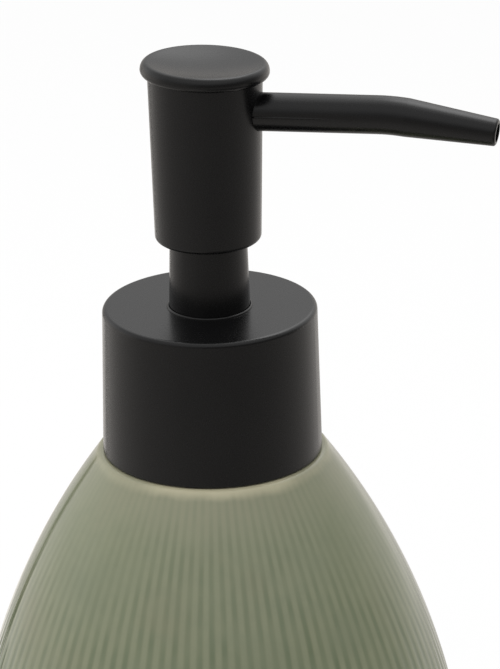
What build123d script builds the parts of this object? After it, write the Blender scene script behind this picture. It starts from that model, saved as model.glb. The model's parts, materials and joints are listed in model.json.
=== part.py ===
from build123d import *
import math
import os

# A ceramic soap dispenser with a lift pump. Millimetres, +Z up. The origin is on the
# pump's axis at the plane that the foot stands on, and +X runs along the spout.

# ---- Driving dimensions ----

# Bottle: a thrown ceramic form with a seat for the collar and a plain neck inside it
SEAT_Z = 97.9
SEAT_R = 21.1
SEAT_EDGE = 0.6
BELLY_R = 45.9
BELLY_Z = 35.0
BELLY_ARC_R = 58.0
SHOULDER_ANGLE = 13.9
WALL = 4.0
FLOOR = 5.0
FLOOR_CORNER = 8.0
FOOT_R = 33.0
FOOT_BEVEL = 2.5
FOOT_WIDTH = 4.0
FOOT_RECESS = 1.5
NECK_R = 15.6
NECK_BORE_R = 12.6
NECK_H = 10.0
THROAT_DROP = 2.0
RIB_COUNT = 100
GROOVE_DEPTH = 0.25
GROOVE_HALF_W = 0.5
GROOVE_CLIMB = 0.91
GROOVE_STAND_OUT = 0.4
GROOVE_OVERRUN = 4.0

# Closure: a decorative shell over a screw cap
COLLAR_GAP = 0.3
COLLAR_H = 27.7
COLLAR_R = 20.31
COLLAR_DRAFT = 1.24
COLLAR_WALL = 1.3
COLLAR_TOP_T = 1.5
COLLAR_EDGE = 0.9
COLLAR_HOLE_EDGE = 0.15
CAP_WEB_T = 2.3
CAP_R = 15.4
CAP_WALL = 1.5
CAP_RIB_T = 1.2
CAP_RIB_COUNT = 12
SHELL_FIT = 0.1

# Screw neck bonded into the ceramic mouth, with a 28 mm neck finish
GLUE_GAP = 0.1
INSERT_ROOT_R = 12.55
INSERT_BORE_R = 10.4
INSERT_FLANGE_R = 15.0
INSERT_FLANGE_T = 1.5
INSERT_PLUG_H = 9.0
THREAD_DEPTH = 1.15
THREAD_CLEAR = 0.2

# Cylinder of the pump
GASKET_T = 1.5
FLANGE_T = 1.5
FLANGE_R = 12.3
CUP_R = 9.9
CUP_BORE_R = 8.7
CUP_DEPTH = 14.0
CYLINDER_BORE_R = 6.4
CYLINDER_WALL = 1.2
CYLINDER_L = 38.2
VALVE_R = 3.4
VALVE_H = 3.5
SEAT_BORE_R = 1.5
SEAT_CONE_H = 1.7
SEAT_LAND = 2.8
SOCKET_L = 10.0
SOCKET_WALL = 1.1

# Dip tube
DIP_R = 3.0
DIP_BORE_R = 2.1
DIP_FIT = 0.05
DIP_FLOOR_GAP = 3.0
DIP_CUT_ANGLE = 30.0

# Chimney, stem guide and wiper
SLEEVE_BASE_R = 7.55
SLEEVE_TOP_R = 6.95
SLEEVE_BORE_R = 5.4
SLEEVE_H = 21.0
SLEEVE_FLANGE_R = 8.6
SLEEVE_FLANGE_T = 2.0
SLEEVE_HOLE_CLEAR = 0.05
GUIDE_FIT = 0.05
GUIDE_WALL = 1.2
GUIDE_FLOOR_T = 1.6
WIPER_R = 6.2
WIPER_T = 2.0
RUNNING_FIT = 0.08

# Moving column: stem, valve rod, piston and spring
STROKE = 12.0
STEM_R = 3.5
STEM_BORE_R = 2.0
STEM_STOP_R = 4.6
STEM_STOP_T = 2.0
STEM_TIP = 1.0
STEM_BEAD_R = 3.85
STEM_BEAD_T = 1.0
PISTON_FLOAT = 1.0
PISTON_HUB_R = 3.5
PISTON_HUB_BORE_R = 2.5
PISTON_HUB_H = 3.7
PISTON_LIP_H = 5.6
PISTON_LIP_T = 0.9
PISTON_WAIST = 0.45
PISTON_WEB_T = 1.4
PISTON_DROP = 0.7
ROD_R = 1.95
ROD_L = 9.0
ROD_SLOT_W = 1.1
ROD_HEAD_R = 3.9
ROD_HEAD_T = 1.9
ROD_FLANGE_R = 5.2
ROD_FLANGE_T = 1.4
ROD_PILOT_R = 3.5
ROD_PILOT_H = 2.0
SPRING_R = 4.6
WIRE_R = 0.45
SPRING_TURNS = 8
SPRING_SIDES = 16

# Inlet valve
BALL_R = 2.4
BALL_LIFT = 2.0
BALL_SEAT_GAP = 0.05
CAGE_R = 6.35
CAGE_BORE_R = 2.9
CAGE_RING_T = 1.2
CAGE_TOP_R = 3.7
CAGE_TOP_T = 1.2
CAGE_HOLE_R = 0.7
CAGE_HOLE_PCR = 2.1
CAGE_HOLES = 4

# Head
HEAD_DOWN_GAP = 1.15
HEAD_R = 9.7
HEAD_DRAFT = 1.27
HEAD_H = 31.2
HEAD_TOP_SLOPE = 1.7
HEAD_TOP_EDGE = 0.25
HEAD_BORE_R = 7.8
HEAD_EDGE = 0.8
CORE_FIT = 0.05
CORE_DOWN_GAP = 0.9
CORE_H = 10.3
BOSS_R = 4.9
BOSS_H = 7.5
SOCKET_DEPTH = 9.8

# Disc cap pressed into the head
DISC_R = 11.68
DISC_LIP_R = 1.05
DISC_DISH_DEPTH = 1.0
DISC_PLUG_H = 2.2

# Spout
SPOUT_Z = 24.35
SPOUT_RISE = 2.4
SPOUT_FALL = 5.9
SPOUT_RUN = 34.4
SPOUT_TAIL = 19.2
SPOUT_BEND_R = 38.0
SPOUT_ROOT_R = 3.5
SPOUT_BEND_OD_R = 3.48
SPOUT_TIP_R = 2.45
SPOUT_TIP_EDGE = 0.5
SPOUT_BORE_R = 1.7
SPIGOT_R = 2.5
SPIGOT_IN = 3.8
SPOUT_SEAT_GAP = 0.2
SPOUT_FIT = 0.05

# ---- Heights and radii that follow from them ----

rim_z = SEAT_Z + NECK_H
collar_z = SEAT_Z + COLLAR_GAP
collar_top_z = collar_z + COLLAR_H
web_top_z = collar_top_z - COLLAR_TOP_T
web_z = web_top_z - CAP_WEB_T
flange_z = web_z - FLANGE_T
insert_top_z = flange_z - GASKET_T
insert_flange_top_z = rim_z + INSERT_FLANGE_T
thread_r = INSERT_ROOT_R + THREAD_DEPTH

cup_floor_z = web_z - CUP_DEPTH
cylinder_z = cup_floor_z - CYLINDER_L
cone_top_z = cylinder_z - VALVE_H
seat_z = cone_top_z - SEAT_CONE_H
socket_top_z = seat_z - SEAT_LAND
socket_z = socket_top_z - SOCKET_L
cylinder_r = CYLINDER_BORE_R + CYLINDER_WALL
socket_r = DIP_R + DIP_FIT + SOCKET_WALL

sleeve_z = web_z - SLEEVE_FLANGE_T
sleeve_top_z = web_z + SLEEVE_H
sleeve_slope = (SLEEVE_BASE_R - SLEEVE_TOP_R) / SLEEVE_H
web_hole_r = SLEEVE_BASE_R + SLEEVE_HOLE_CLEAR
collar_hole_r = web_hole_r - CAP_WEB_T * sleeve_slope

head_z = collar_top_z + STROKE + HEAD_DOWN_GAP
head_top_z = head_z + HEAD_H
core_z = sleeve_top_z + STROKE + CORE_DOWN_GAP
core_top_z = core_z + CORE_H
boss_z = core_z - BOSS_H
stem_top_z = boss_z + SOCKET_DEPTH
stem_bead_z = boss_z + BOSS_H / 2
spout_z = head_z + SPOUT_Z

stem_stop_z = cup_floor_z - STEM_STOP_T
stem_z = stem_stop_z - STEM_TIP
hub_top_z = stem_z - PISTON_FLOAT
rod_head_z = hub_top_z - PISTON_HUB_H
rod_flange_z = rod_head_z - ROD_HEAD_T
spring_top_z = rod_flange_z - ROD_FLANGE_T
cage_top_z = cylinder_z + CAGE_RING_T
ball_z = seat_z - SEAT_BORE_R * SEAT_CONE_H / (VALVE_R - SEAT_BORE_R)
ball_z += (BALL_R + BALL_SEAT_GAP) / math.sin(math.atan((VALVE_R - SEAT_BORE_R) / SEAT_CONE_H))
cage_roof_z = ball_z + BALL_R + BALL_LIFT + BALL_SEAT_GAP


def ring(low, high, outer, inner=0.0, mode=Mode.ADD):
    """A round disc or tube about the axis, between two heights."""
    with BuildSketch(Plane.XY.offset(low)) as section:
        Circle(outer)
        if inner > 0:
            Circle(inner, mode=Mode.SUBTRACT)
    extrude(section.sketch, amount=high - low, mode=mode)


def turned(points):
    """A solid turned about the axis from the corners of half its section, as (radius, height)."""
    with BuildSketch(Plane.XZ) as section:
        with BuildLine():
            Polyline(*points, close=True)
        make_face()
    revolve(section.sketch, axis=Axis.Z)


# ---- Bottle ----

belly_centre = (BELLY_R - BELLY_ARC_R, BELLY_Z)


def belly_point(radius, angle):
    """A point of the belly's arc, by its angle above the widest level."""
    turn = math.radians(angle)
    return (belly_centre[0] + radius * math.cos(turn), BELLY_Z + radius * math.sin(turn))


inner_arc_r = BELLY_ARC_R - WALL
foot_angle = -math.degrees(math.asin((BELLY_Z - FOOT_BEVEL) / BELLY_ARC_R))
floor_angle = -math.degrees(math.asin((BELLY_Z - FLOOR) / inner_arc_r))
shoulder_way = (-math.sin(math.radians(SHOULDER_ANGLE)), math.cos(math.radians(SHOULDER_ANGLE)))

with BuildPart() as bottle:
    with BuildSketch(Plane.XZ):
        with BuildLine():
            Line((0, 0), (FOOT_R, 0))
            Line((FOOT_R, 0), belly_point(BELLY_ARC_R, foot_angle))
            CenterArc(belly_centre, BELLY_ARC_R, foot_angle, SHOULDER_ANGLE - foot_angle)
            shoulder = TangentArc(
                belly_point(BELLY_ARC_R, SHOULDER_ANGLE),
                (SEAT_R, SEAT_Z),
                tangent=shoulder_way,
            )
            Polyline((SEAT_R, SEAT_Z), (NECK_R, SEAT_Z), (NECK_R, rim_z), (0, rim_z), (0, 0))
        make_face()
    revolve(axis=Axis.Z)
    seat_edge = bottle.edges().filter_by(GeomType.CIRCLE).filter_by(
        lambda edge: abs(edge.radius - SEAT_R) < 1e-3 and abs(edge.center().Z - SEAT_Z) < 1e-3
    )
    fillet(seat_edge, radius=SEAT_EDGE)
    with BuildSketch(Plane.XZ):
        with BuildLine():
            Line((0, FLOOR), belly_point(inner_arc_r, floor_angle))
            CenterArc(belly_centre, inner_arc_r, floor_angle, SHOULDER_ANGLE - floor_angle)
            TangentArc(
                belly_point(inner_arc_r, SHOULDER_ANGLE),
                (NECK_BORE_R, SEAT_Z - THROAT_DROP),
                tangent=shoulder_way,
            )
            Polyline((NECK_BORE_R, SEAT_Z - THROAT_DROP), (NECK_BORE_R, rim_z), (0, rim_z), (0, FLOOR))
        make_face()
    revolve(axis=Axis.Z, mode=Mode.SUBTRACT)
    floor_face = bottle.faces().filter_by(lambda face: abs(face.center().Z - FLOOR) < 1e-3)[0]
    fillet(floor_face.edges(), radius=FLOOR_CORNER)
    ring(0, FOOT_RECESS, FOOT_R - FOOT_WIDTH, mode=Mode.SUBTRACT)

    # The reeding is cut last, as a ring of V grooves. A groove's floor follows the belly at full
    # depth, then climbs the shoulder on an arc that meets the outline at GROOVE_CLIMB of its
    # length, so the groove fades out below the collar. At the foot it runs out through the bevel.
    groove_foot_angle = foot_angle - GROOVE_OVERRUN
    groove_end = shoulder @ GROOVE_CLIMB
    with BuildLine(Plane.XZ) as groove_floor:
        CenterArc(
            belly_centre,
            BELLY_ARC_R - GROOVE_DEPTH,
            groove_foot_angle,
            SHOULDER_ANGLE - groove_foot_angle,
        )
        TangentArc(
            belly_point(BELLY_ARC_R - GROOVE_DEPTH, SHOULDER_ANGLE),
            (groove_end.X, groove_end.Y),
            tangent=shoulder_way,
        )
    groove_plane = Plane(groove_floor.line @ 0, x_dir=(0, -1, 0), z_dir=groove_floor.line % 0)
    groove_slope = GROOVE_HALF_W / GROOVE_DEPTH
    cutter_h = GROOVE_DEPTH + GROOVE_STAND_OUT
    with BuildSketch(groove_plane, mode=Mode.PRIVATE) as groove_section:
        with BuildLine():
            Polyline(
                (0, 0),
                (cutter_h * groove_slope, cutter_h),
                (-cutter_h * groove_slope, cutter_h),
                close=True,
            )
        make_face()
    groove = sweep(groove_section.sketch, path=groove_floor.wire(), mode=Mode.PRIVATE)
    with PolarLocations(0, RIB_COUNT):
        add(groove, mode=Mode.SUBTRACT)
bottle.part.label = "bottle"

# ---- Screw neck in the mouth ----

with BuildPart() as neck_insert:
    ring(rim_z - INSERT_PLUG_H, rim_z, NECK_BORE_R - GLUE_GAP, INSERT_BORE_R)
    ring(rim_z, insert_flange_top_z, INSERT_FLANGE_R, INSERT_BORE_R)
    ring(insert_flange_top_z, insert_top_z, INSERT_ROOT_R, INSERT_BORE_R)
neck_insert.part.label = "neck_insert"

# ---- Closure ----

draft = math.tan(math.radians(COLLAR_DRAFT))
collar_top_r = COLLAR_R - COLLAR_H * draft
collar_bore_r = COLLAR_R - COLLAR_WALL
collar_bore_top_r = collar_bore_r - (COLLAR_H - COLLAR_TOP_T) * draft

with BuildPart() as collar_shell:
    turned([
        (collar_hole_r, web_top_z),
        (collar_bore_top_r, web_top_z),
        (collar_bore_r, collar_z),
        (COLLAR_R, collar_z),
        (collar_top_r, collar_top_z),
        (collar_hole_r, collar_top_z),
    ])
    collar_top = collar_shell.faces().sort_by(Axis.Z)[-1]
    hole_edges = collar_top.inner_wires()[0].edges()
    fillet(collar_top.outer_wire().edges(), radius=COLLAR_EDGE)
    fillet(hole_edges, radius=COLLAR_HOLE_EDGE)
collar_shell.part.label = "collar_shell"

cap_bore_r = thread_r + THREAD_CLEAR
cap_skirt_z = insert_flange_top_z + COLLAR_GAP
cap_web_r = collar_bore_top_r - SHELL_FIT

with BuildPart() as closure_cap:
    ring(web_z, web_top_z, cap_web_r, web_hole_r)
    ring(cap_skirt_z, web_z, CAP_R, cap_bore_r)
    with BuildSketch(Plane.XY.offset(cap_skirt_z)):
        with PolarLocations((CAP_R + cap_web_r) / 2 - CAP_WALL / 4, CAP_RIB_COUNT):
            Rectangle(cap_web_r - CAP_R + CAP_WALL / 2, CAP_RIB_T)
    extrude(amount=web_z - cap_skirt_z)
closure_cap.part.label = "closure_cap"

# ---- Pump body ----

with BuildPart() as neck_gasket:
    ring(insert_top_z, flange_z, FLANGE_R, CUP_R + GUIDE_FIT)
neck_gasket.part.label = "neck_gasket"

with BuildPart() as pump_housing:
    turned([
        (CUP_BORE_R, web_z),
        (FLANGE_R, web_z),
        (FLANGE_R, flange_z),
        (CUP_R, flange_z),
        (CUP_R, cup_floor_z - CYLINDER_WALL),
        (cylinder_r, cup_floor_z - 2 * CYLINDER_WALL),
        (cylinder_r, cylinder_z - CYLINDER_WALL),
        (socket_r, seat_z),
        (socket_r, socket_z),
        (DIP_R + DIP_FIT, socket_z),
        (DIP_R + DIP_FIT, socket_top_z),
        (SEAT_BORE_R, socket_top_z),
        (SEAT_BORE_R, seat_z),
        (VALVE_R, cone_top_z),
        (VALVE_R, cylinder_z),
        (CYLINDER_BORE_R, cylinder_z),
        (CYLINDER_BORE_R, cup_floor_z),
        (CUP_BORE_R, cup_floor_z),
    ])
pump_housing.part.label = "pump_housing"

dip_bottom_z = FLOOR + DIP_FLOOR_GAP

with BuildPart() as dip_tube:
    ring(dip_bottom_z, socket_top_z, DIP_R, DIP_BORE_R)
    bevel = Plane((DIP_R, 0, dip_bottom_z), z_dir=(
        math.sin(math.radians(DIP_CUT_ANGLE)), 0, math.cos(math.radians(DIP_CUT_ANGLE))
    ))
    split(bisect_by=bevel, keep=Keep.TOP)
dip_tube.part.label = "dip_tube"

with BuildPart() as ball_cage:
    ring(cylinder_z, cage_top_z, CAGE_R, CAGE_BORE_R)
    ring(cage_top_z, cage_roof_z + CAGE_TOP_T, CAGE_TOP_R)
    ring(cage_top_z, cage_roof_z, CAGE_BORE_R, mode=Mode.SUBTRACT)
    with BuildSketch(Plane.XY.offset(cage_roof_z)):
        with PolarLocations(CAGE_HOLE_PCR, CAGE_HOLES):
            Circle(CAGE_HOLE_R)
    extrude(amount=CAGE_TOP_T, mode=Mode.SUBTRACT)
ball_cage.part.label = "ball_cage"

with BuildPart() as inlet_ball:
    with BuildSketch(Plane.XZ):
        with BuildLine():
            ball_edge = CenterArc((0, ball_z), BALL_R, -90, 180)
            Line(ball_edge @ 1, ball_edge @ 0)
        make_face()
    revolve(axis=Axis.Z)
inlet_ball.part.label = "inlet_ball"

# ---- Chimney and stem guide ----

wiper_z = sleeve_z - WIPER_T
stem_hole_r = STEM_R + RUNNING_FIT

with BuildPart() as neck_sleeve:
    turned([
        (SLEEVE_BORE_R, sleeve_z),
        (SLEEVE_FLANGE_R, sleeve_z),
        (SLEEVE_FLANGE_R, web_z),
        (SLEEVE_BASE_R, web_z),
        (SLEEVE_TOP_R, sleeve_top_z),
        (SLEEVE_BORE_R, sleeve_top_z),
    ])
neck_sleeve.part.label = "neck_sleeve"

with BuildPart() as stem_guide:
    ring(cup_floor_z, cup_floor_z + GUIDE_FLOOR_T, CUP_BORE_R - GUIDE_FIT, stem_hole_r)
    ring(cup_floor_z, sleeve_z, CUP_BORE_R - GUIDE_FIT, CUP_BORE_R - GUIDE_FIT - GUIDE_WALL)
    ring(cup_floor_z, wiper_z, stem_hole_r + GUIDE_WALL, stem_hole_r)
    ring(wiper_z - GUIDE_WALL, wiper_z, CUP_BORE_R - GUIDE_FIT, stem_hole_r)
    ring(wiper_z, sleeve_z, CUP_BORE_R - GUIDE_FIT, WIPER_R + GUIDE_FIT)
stem_guide.part.label = "stem_guide"

with BuildPart() as stem_wiper:
    ring(wiper_z, sleeve_z, WIPER_R, STEM_R + GUIDE_FIT)
stem_wiper.part.label = "stem_wiper"

# ---- Moving column ----

with BuildPart() as pump_stem:
    turned([
        (STEM_BORE_R, stem_z),
        (STEM_R, stem_z),
        (STEM_R, stem_stop_z),
        (STEM_STOP_R, stem_stop_z),
        (STEM_STOP_R, cup_floor_z),
        (STEM_R, cup_floor_z),
        (STEM_R, stem_bead_z - STEM_BEAD_T),
        (STEM_BEAD_R, stem_bead_z - STEM_BEAD_T / 2),
        (STEM_BEAD_R, stem_bead_z + STEM_BEAD_T / 2),
        (STEM_R, stem_bead_z + STEM_BEAD_T),
        (STEM_R, stem_top_z),
        (STEM_BORE_R, stem_top_z),
    ])
pump_stem.part.label = "pump_stem"

with BuildPart() as piston_rod:
    turned([
        (0, spring_top_z - ROD_PILOT_H),
        (ROD_PILOT_R, spring_top_z - ROD_PILOT_H),
        (ROD_PILOT_R, spring_top_z),
        (ROD_FLANGE_R, spring_top_z),
        (ROD_FLANGE_R, rod_flange_z),
        (ROD_HEAD_R, rod_flange_z),
        (ROD_HEAD_R, rod_head_z),
        (ROD_R, rod_head_z),
        (ROD_R, rod_head_z + ROD_L),
        (0, rod_head_z + ROD_L),
    ])
    with BuildSketch(Plane.XY.offset(rod_head_z)):
        with PolarLocations(ROD_R, 3):
            Rectangle(ROD_R, ROD_SLOT_W)
    extrude(amount=ROD_L, mode=Mode.SUBTRACT)
piston_rod.part.label = "piston_rod"

piston_r = CYLINDER_BORE_R - GUIDE_FIT
piston_in_r = piston_r - PISTON_WAIST - PISTON_LIP_T
piston_z = rod_head_z - PISTON_DROP
piston_mid_z = piston_z + PISTON_LIP_H / 2

with BuildPart() as piston:
    turned([
        (piston_in_r, piston_z),
        (piston_r, piston_z),
        (piston_r - PISTON_WAIST, piston_z + PISTON_LIP_H / 3),
        (piston_r - PISTON_WAIST, piston_z + PISTON_LIP_H * 2 / 3),
        (piston_r, piston_z + PISTON_LIP_H),
        (piston_in_r, piston_z + PISTON_LIP_H),
    ])
    ring(piston_mid_z - PISTON_WEB_T / 2, piston_mid_z + PISTON_WEB_T / 2, piston_in_r, PISTON_HUB_BORE_R)
    ring(rod_head_z, hub_top_z, PISTON_HUB_R, PISTON_HUB_BORE_R)
piston.part.label = "piston"

# The helix is made of short straight runs, SPRING_SIDES of them to a turn.
spring_low_z = cage_top_z + WIRE_R + GUIDE_FIT
spring_high_z = spring_top_z - WIRE_R - GUIDE_FIT
steps = SPRING_TURNS * SPRING_SIDES
coil = [
    (
        SPRING_R * math.cos(2 * math.pi * step / SPRING_SIDES),
        SPRING_R * math.sin(2 * math.pi * step / SPRING_SIDES),
        spring_low_z + (spring_high_z - spring_low_z) * step / steps,
    )
    for step in range(steps + 1)
]

with BuildPart() as return_spring:
    with BuildLine() as wire_path:
        Polyline(*coil)
    with BuildSketch(Plane(coil[0], z_dir=wire_path.line % 0)):
        RegularPolygon(WIRE_R, 6)
    sweep(transition=Transition.RIGHT)
return_spring.part.label = "return_spring"

# ---- Head ----

spout_way = Vector(math.cos(math.radians(SPOUT_RISE)), 0, math.sin(math.radians(SPOUT_RISE)))
spout_tail_way = Vector(math.cos(math.radians(SPOUT_FALL)), 0, -math.sin(math.radians(SPOUT_FALL)))
spout_origin = Vector(0, 0, spout_z)


def across_spout(distance):
    """The plane square to the spout's first run, at a distance from the axis."""
    return Plane(spout_origin + spout_way * distance, x_dir=(0, 1, 0), z_dir=spout_way)


head_top_r = HEAD_R + HEAD_H * math.tan(math.radians(HEAD_DRAFT))
top_slope = math.radians(HEAD_TOP_SLOPE)
top_way = (math.sin(top_slope), 0, math.cos(top_slope))
top_along = (math.cos(top_slope), 0, -math.sin(top_slope))
blank_z = head_top_z + 2 * head_top_r * math.tan(top_slope)

with BuildPart() as actuator_head:
    turned([
        (HEAD_BORE_R, head_z),
        (HEAD_R, head_z),
        (HEAD_R + (blank_z - head_z) * math.tan(math.radians(HEAD_DRAFT)), blank_z),
        (HEAD_BORE_R, blank_z),
    ])
    split(bisect_by=Plane((0, 0, head_top_z), x_dir=top_along, z_dir=top_way), keep=Keep.BOTTOM)
    mouth = actuator_head.faces().sort_by(Axis.Z)[0]
    fillet(mouth.outer_wire().edges(), radius=HEAD_EDGE)
    rim = actuator_head.faces().sort_by(Axis.Z)[-1]
    fillet(rim.outer_wire().edges(), radius=HEAD_TOP_EDGE)
    with BuildSketch(across_spout(0)):
        Circle(SPOUT_ROOT_R + SPOUT_FIT)
    extrude(amount=head_top_r + SPOUT_ROOT_R, mode=Mode.SUBTRACT)
actuator_head.part.label = "actuator_head"

core_r = HEAD_BORE_R - CORE_FIT

with BuildPart() as head_core:
    ring(core_z, core_top_z, core_r)
    ring(boss_z, core_z, BOSS_R)
    ring(boss_z, stem_top_z + CORE_FIT, stem_hole_r, mode=Mode.SUBTRACT)
    ring(
        stem_bead_z - STEM_BEAD_T - RUNNING_FIT,
        stem_bead_z + STEM_BEAD_T + RUNNING_FIT,
        STEM_BEAD_R + RUNNING_FIT,
        mode=Mode.SUBTRACT,
    )
    ring(stem_top_z, spout_z, SPOUT_BORE_R, mode=Mode.SUBTRACT)
    with BuildSketch(across_spout(0)):
        Circle(SPOUT_BORE_R)
    extrude(amount=HEAD_BORE_R, mode=Mode.SUBTRACT)
    with BuildSketch(across_spout(SPIGOT_IN)):
        Circle(SPIGOT_R + SPOUT_FIT)
    extrude(amount=HEAD_BORE_R, mode=Mode.SUBTRACT)
head_core.part.label = "head_core"

# The disc stands square to the head's sloping top; its plug goes straight down the bore.
with BuildPart() as head_cap:
    with BuildSketch(Plane((0, 0, head_top_z), x_dir=top_along, z_dir=(0, -1, 0))):
        with BuildLine():
            dish = TangentArc(
                (0, 2 * DISC_LIP_R - DISC_DISH_DEPTH),
                (DISC_R - DISC_LIP_R, 2 * DISC_LIP_R),
                tangent=(1, 0),
            )
            CenterArc((DISC_R - DISC_LIP_R, DISC_LIP_R), DISC_LIP_R, 90, -180)
            Polyline((DISC_R - DISC_LIP_R, 0), (0, 0), dish @ 0)
        make_face()
    revolve(axis=Axis((0, 0, head_top_z), top_way))
    ring(head_top_z - DISC_PLUG_H, head_top_z + DISC_LIP_R / 2, core_r)
head_cap.part.label = "head_cap"

# ---- Spout ----

vertex = spout_origin + spout_way * SPOUT_RUN
tip = vertex + spout_tail_way * SPOUT_TAIL
bend_angle = SPOUT_RISE + SPOUT_FALL
bend_cut = SPOUT_BEND_R * math.tan(math.radians(bend_angle / 2))
seat = HEAD_BORE_R + SPOUT_SEAT_GAP
straight = SPOUT_RUN - bend_cut - seat
tail = SPOUT_TAIL - bend_cut
root_taper = math.degrees(math.atan((SPOUT_ROOT_R - SPOUT_BEND_OD_R) / straight))
tail_taper = math.degrees(math.atan((SPOUT_BEND_OD_R - SPOUT_TIP_R) / tail))

with BuildPart() as spout:
    with BuildSketch(across_spout(SPIGOT_IN)):
        Circle(SPIGOT_R)
    extrude(amount=seat - SPIGOT_IN)
    with BuildSketch(across_spout(seat)):
        Circle(SPOUT_ROOT_R)
    extrude(amount=straight, taper=root_taper)
    with BuildLine() as bend:
        FilletPolyline(spout_origin, vertex, tip, radius=SPOUT_BEND_R)
    bend_arc = bend.edges().filter_by(GeomType.CIRCLE)[0]
    with BuildSketch(across_spout(SPOUT_RUN - bend_cut)):
        Circle(SPOUT_BEND_OD_R)
    sweep(path=bend_arc)
    with BuildSketch(Plane(tip - spout_tail_way * tail, x_dir=(0, 1, 0), z_dir=spout_tail_way)):
        Circle(SPOUT_BEND_OD_R)
    extrude(amount=tail, taper=tail_taper)
    fillet(spout.faces().sort_by(Axis.X)[-1].edges(), radius=SPOUT_TIP_EDGE)
    with BuildSketch(across_spout(0)):
        Circle(SPOUT_BORE_R)
    sweep(path=bend.line, mode=Mode.SUBTRACT)
spout.part.label = "spout"

# ---- Files ----

os.makedirs("parts", exist_ok=True)
for piece in (
    bottle, neck_insert, collar_shell, closure_cap, neck_gasket, pump_housing, dip_tube,
    ball_cage, inlet_ball, neck_sleeve, stem_guide, stem_wiper, pump_stem, piston_rod,
    piston, return_spring, actuator_head, head_core, head_cap, spout,
):
    export_step(piece.part, f"parts/{piece.part.label}.step")
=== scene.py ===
import json
import math

import bmesh
import bpy
from mathutils import Matrix, Vector


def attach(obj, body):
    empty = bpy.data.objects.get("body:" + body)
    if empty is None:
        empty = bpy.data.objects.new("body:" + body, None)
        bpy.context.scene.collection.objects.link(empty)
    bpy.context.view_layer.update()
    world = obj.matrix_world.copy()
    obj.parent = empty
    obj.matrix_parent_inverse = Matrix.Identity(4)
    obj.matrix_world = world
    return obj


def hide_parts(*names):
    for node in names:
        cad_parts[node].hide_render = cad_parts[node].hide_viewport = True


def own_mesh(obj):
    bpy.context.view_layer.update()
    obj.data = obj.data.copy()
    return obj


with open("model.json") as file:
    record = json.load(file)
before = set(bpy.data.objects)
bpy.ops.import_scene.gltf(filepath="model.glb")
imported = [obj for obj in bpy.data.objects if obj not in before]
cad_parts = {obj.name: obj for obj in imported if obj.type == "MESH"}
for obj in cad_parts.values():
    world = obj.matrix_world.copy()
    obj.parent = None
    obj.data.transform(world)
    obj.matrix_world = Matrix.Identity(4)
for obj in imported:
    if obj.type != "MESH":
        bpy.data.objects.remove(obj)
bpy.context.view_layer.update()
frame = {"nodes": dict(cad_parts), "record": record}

# A ceramic soap dispenser with a black lift pump. Metres, +Z up, the spout along +X.

MM = 0.001
ON_AXIS = 1e-4 * MM

# ---- Bottle form ----

SEAT_Z = 97.9 * MM
SEAT_R = 21.1 * MM
SEAT_EDGE = 0.6 * MM
BELLY_R = 45.9 * MM
BELLY_Z = 35.0 * MM
BELLY_ARC_R = 58.0 * MM
SHOULDER_ANGLE = math.radians(13.9)
WALL = 4.0 * MM
FLOOR = 5.0 * MM
FLOOR_CORNER = 8.0 * MM
FOOT_R = 33.0 * MM
FOOT_BEVEL = 2.5 * MM
FOOT_WIDTH = 4.0 * MM
FOOT_RECESS = 1.5 * MM
NECK_R = 15.6 * MM
NECK_BORE_R = 12.6 * MM
RIM_Z = 107.9 * MM
THROAT_DROP = 2.0 * MM
SMALL_EDGE = 0.3 * MM
FLOOR_CORNER_DROP = 0.7
FLOOR_CORNER_IN = 0.25
FLOOR_CORNER_REACH = 0.6
FLOOR_CORNER_STEPS = 5
INSIDE_STEPS = 14
BELLY_STEPS = 40
SHOULDER_STEPS = 48
BELLY_CENTRE = (BELLY_R - BELLY_ARC_R, BELLY_Z)
SEAT_IN = (NECK_R, SEAT_Z)
SEAT_OUT = (SEAT_R, SEAT_Z)

# ---- Reeding ----

RIB_COUNT = 100
RIB_COLUMNS = 8
RIB_DEPTH = 0.12 * MM
RIB_SHALLOW = 0.08
RIB_FULL_Z = 46.0 * MM
RIB_SHALLOW_Z = 72.0 * MM
RIB_END_Z = 97.0 * MM
RIB_FOOT_Z = 2.5 * MM
RIB_OUT_Z = 0.6 * MM
RIB_CREST = 1.3

# ---- Threads ----

THREAD_PITCH = 3.175 * MM
THREAD_TURNS = 2.0
THREAD_ROOT_W = 1.7 * MM
THREAD_CREST_W = 0.8 * MM
THREAD_STEPS = 72
THREAD_FADE = THREAD_STEPS / 8
THREAD_LEAST = 0.02
THREAD_SINK = 0.05 * MM
NECK_THREAD_ROOT_R = 12.55 * MM
NECK_THREAD_CREST_R = 13.7 * MM
NECK_THREAD_Z = 111.2 * MM
CAP_THREAD_ROOT_R = 13.9 * MM
CAP_THREAD_CREST_R = 12.75 * MM

# ---- Spring ----

SPRING_R = 4.6 * MM
WIRE_R = 0.45 * MM
SPRING_TURNS = 8
SPRING_LOW_Z = 71.1 * MM
SPRING_HIGH_Z = 97.1 * MM
SPRING_STEPS = 40
WIRE_SIDES = 12

# ---- Pump top: the disc, the lip round the collar's hole and the spout's parting lines ----

DISC_R = 11.68 * MM
DISC_MID_Z = 170.99 * MM
DISC_UPPER_H = 1.55 * MM
DISC_LOWER_H = 1.1 * MM
DISC_EDGE_W = 1.15 * MM
DISC_DISH_DEPTH = 1.0 * MM
DISC_FORWARD = math.radians(1.65)
DISC_BACK = math.radians(1.4)
DISC_OVER = math.radians(98)
DISC_COLUMNS = 128
DISC_UNDER_STEPS = 8
DISC_STEPS = 14
PLUG_R = 7.55 * MM
PLUG_Z = 168.15 * MM

LIP_IN_R = 7.5 * MM
LIP_CREST_R = 7.56 * MM
LIP_OUT_R = 7.88 * MM
LIP_H = 0.32 * MM
LIP_SINK = 0.1 * MM
LIP_COLUMNS = 96
LIP_STEPS = 6
COLLAR_TOP_Z = 125.9 * MM

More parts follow.
